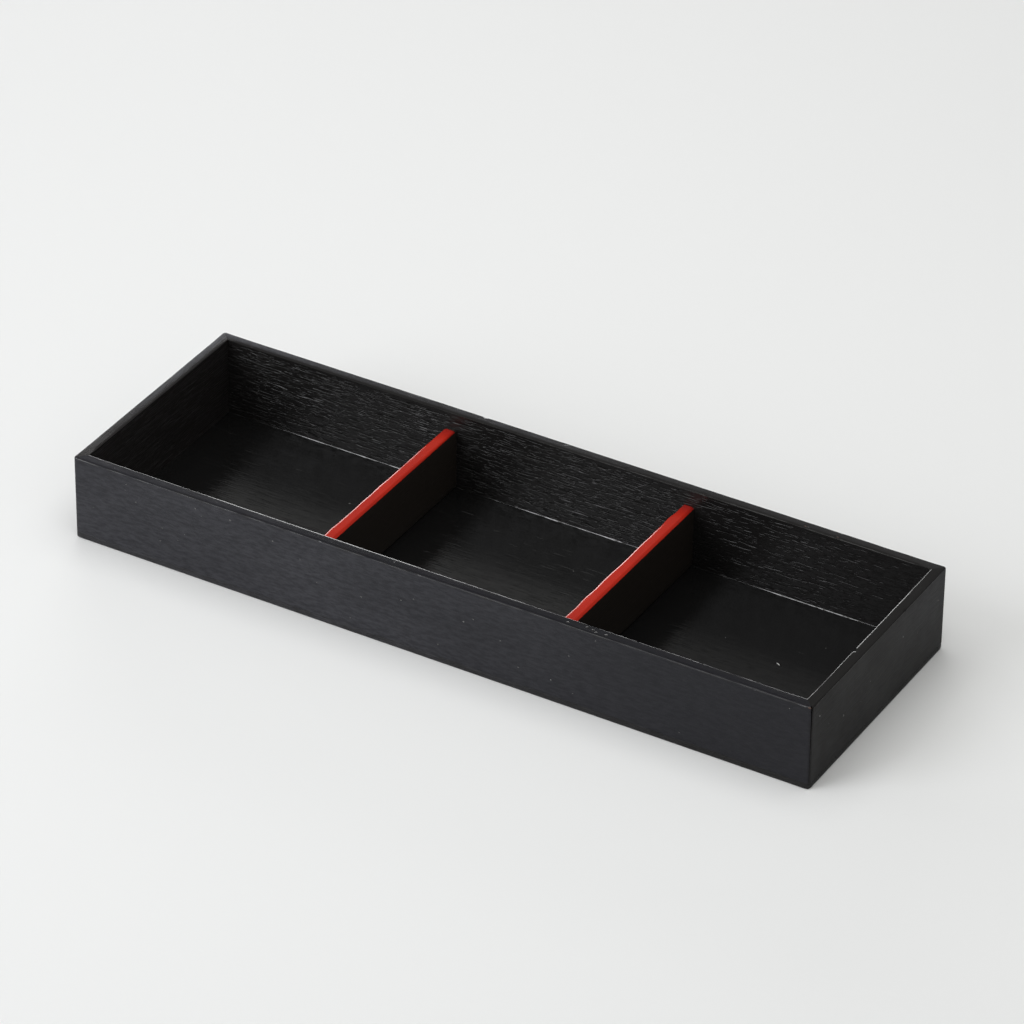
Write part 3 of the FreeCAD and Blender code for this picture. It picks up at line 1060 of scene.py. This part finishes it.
chance = random.Random(12)
sunk_in = 0.085
nib_places = [((x, -half_width + sunk_in, z), (0, -1, 0)) for x, z in
              ((-136, 13), (-100, 36), (-65, 28), (15.6, 25), (-15, 25))]
for count, facing in ((24, (0, -1, 0)), (11, (1, 0, 0)), (14, (-1, 0, 0)), (30, (0, 1, 0))):
    half_run, outer, from_ends = (half_width, half_length, 4) if facing[0] else (half_length, half_width, 6)
    outside = sum(facing) * (outer - sunk_in)
    for number in range(count):
        run = chance.uniform(-half_run + from_ends, half_run - from_ends)
        height = chance.uniform(6, rim_height - 2)
        nib_places.append(((outside, run, height) if facing[0] else (run, outside, height), facing))
nib_places += [((x, y, rim_height - sunk_in), (0, 0, 1)) for x, y in ((-160, -58), (-20, -57))]
nib_places += [((x, y, seam_height - 0.02), (0, 0, 1)) for x, y in
               ((-90, 20), (-140, -10), (20, 25), (-10, -20), (100, 15), (140, 30), (116, -25))]
blister_places = [((x, y, rim_height - 0.125), (0, 0, 1)) for x, y in
                  ((64.5, -57.7), (73.2, -56.9), (76.2, -57.4), (77.8, -58.1), (82.6, -57.8))]
fleck_place = Matrix.Translation(Vector((128.4, 9.2, seam_height + 0.02)) * MM)
fleck_turn = Matrix.Rotation(math.radians(-28), 4, "Z")
for name, places, least, most, length, height, seed, lacquer in (
        ("lacquer_nibs", nib_places, 0.00018, 0.00040, 1.3, 0.00008, 5, nib_lacquer),
        ("rim_blisters", blister_places, 0.00065, 0.00085, 1.1, 0.00010, 2, edge_lacquer),
        ("dried_fleck", [((0, 0, 0), (0, 0, 1))], 0.00030, 0.00031, 4.2, 0.00022, 1, nib_highlight_paint)):
    nibs = run_tree(name, nib_rule, nib_spots(name + "_spots", places), {
        "Least Size": least, "Most Size": most, "Length": length, "Height": height, "Seed": seed,
        "Lacquer": lacquer})
    if name == "dried_fleck":
        nibs.data.transform(fleck_place @ fleck_turn)
    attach(nibs, "root")


# ---- Floor, lamps and world ----
# A matt pale table top. Soft lamps stand low round its left side, and the room is bright towards its front.
# A weak glow higher up at the back left is what the glossy floors mirror towards the front.
floor_mesh = bpy.data.meshes.new("table_top")
floor_mesh.from_pydata([(-4, -4, 0), (4, -4, 0), (4, 4, 0), (-4, 4, 0)], [], [(0, 1, 2, 3)])
floor = add_object("table_top", floor_mesh)
floor_paint = bpy.data.materials.new("matt pale table")
floor_paint.use_nodes = True
join(floor_paint.node_tree, floor_paint.node_tree.nodes["Principled BSDF"], {
    "Base Color": (0.83, 0.835, 0.835, 1), "Roughness": 0.9, "Specular IOR Level": 0.1})
floor_mesh.materials.append(floor_paint)


def soft_lamp(name, azimuth, elevation, distance, width, height, watts, tint):
    """A flat lamp turned to the box. Its azimuth runs from the box's right end towards its back."""
    turn = math.radians(azimuth)
    rise = math.radians(elevation)
    way = Vector((math.cos(rise) * math.cos(turn), math.cos(rise) * math.sin(turn), math.sin(rise)))
    data = bpy.data.lights.new(name, "AREA")
    data.shape = "RECTANGLE"
    data.size = width
    data.size_y = height
    data.energy = watts
    data.color = tint
    lamp = add_object(name, data)
    lamp.location = way * distance
    lamp.rotation_euler = way.to_track_quat("Z", "Y").to_euler()


soft_lamp("front_left_lamp", 234, 28, 2.4, 1.3, 1.7, 27.5, (0.955, 0.965, 1.0))
soft_lamp("left_lamp", 180, 12, 2.4, 1.6, 0.9, 9.7, (0.955, 0.965, 1.0))
soft_lamp("back_left_lamp", 124, 10, 2.4, 1.4, 0.8, 19.0, (1.0, 1.0, 1.0))
soft_lamp("back_left_glow", 120, 34, 2.4, 1.8, 0.9, 0.62, (1.0, 1.0, 1.0))
soft_lamp("ceiling_lamp", 0, 90, 1.1, 1.0, 1.0, 4.5, (1.0, 1.0, 0.985))

room = bpy.data.worlds.new("pale_room")
bpy.context.scene.world = room
room.use_nodes = True
tree = room.node_tree
way = tree.nodes.new("ShaderNodeTexCoord").outputs["Generated"]
upwards = add_node(tree, "ShaderNodeSeparateXYZ", {0: way}).outputs["Z"]
towards_front = add_node(tree, "ShaderNodeVectorMath", {0: way, 1: (0.2, -0.55, 0.81)},
                         operation="DOT_PRODUCT").outputs["Value"]
sky = soft_range(tree, towards_front, 0.2, 0.85, 0.20, 0.64)
horizon = soft_range(tree, upwards, 0.0, 0.25, 0.5, 0.0)
join(tree, tree.nodes["Background"], {
    "Strength": sum_node(tree, "ADD", sky, horizon), "Color": (1.0, 1.0, 0.975, 1)})


# ---- Camera ----
# Stands in front and to the right, looking down on the box.
camera_distance = 2.55085
aim_right = 0.003159
aim_up = 0.033958
camera_data = bpy.data.cameras.new("camera")
camera_data.sensor_width = 36.0
camera_data.lens = 209.37
camera_data.clip_start = 0.05
camera_data.clip_end = 30.0
camera = add_object("camera", camera_data)
azimuth = math.radians(30.105)
elevation = math.radians(33.517)
roll = math.radians(0.647)
back = Vector((math.sin(azimuth) * math.cos(elevation), -math.cos(azimuth) * math.cos(elevation),
               math.sin(elevation)))
level_right = Vector((math.cos(azimuth), math.sin(azimuth), 0))
level_up = back.cross(level_right)
view_right = level_right * math.cos(roll) + level_up * math.sin(roll)
view_up = level_up * math.cos(roll) - level_right * math.sin(roll)
stand = back * camera_distance + level_right * aim_right + level_up * aim_up
turned = Matrix((view_right, view_up, back)).transposed().to_4x4()
camera.matrix_world = Matrix.Translation(stand) @ turned
bpy.context.scene.camera = camera
bpy.context.scene.view_settings.view_transform = "Standard"
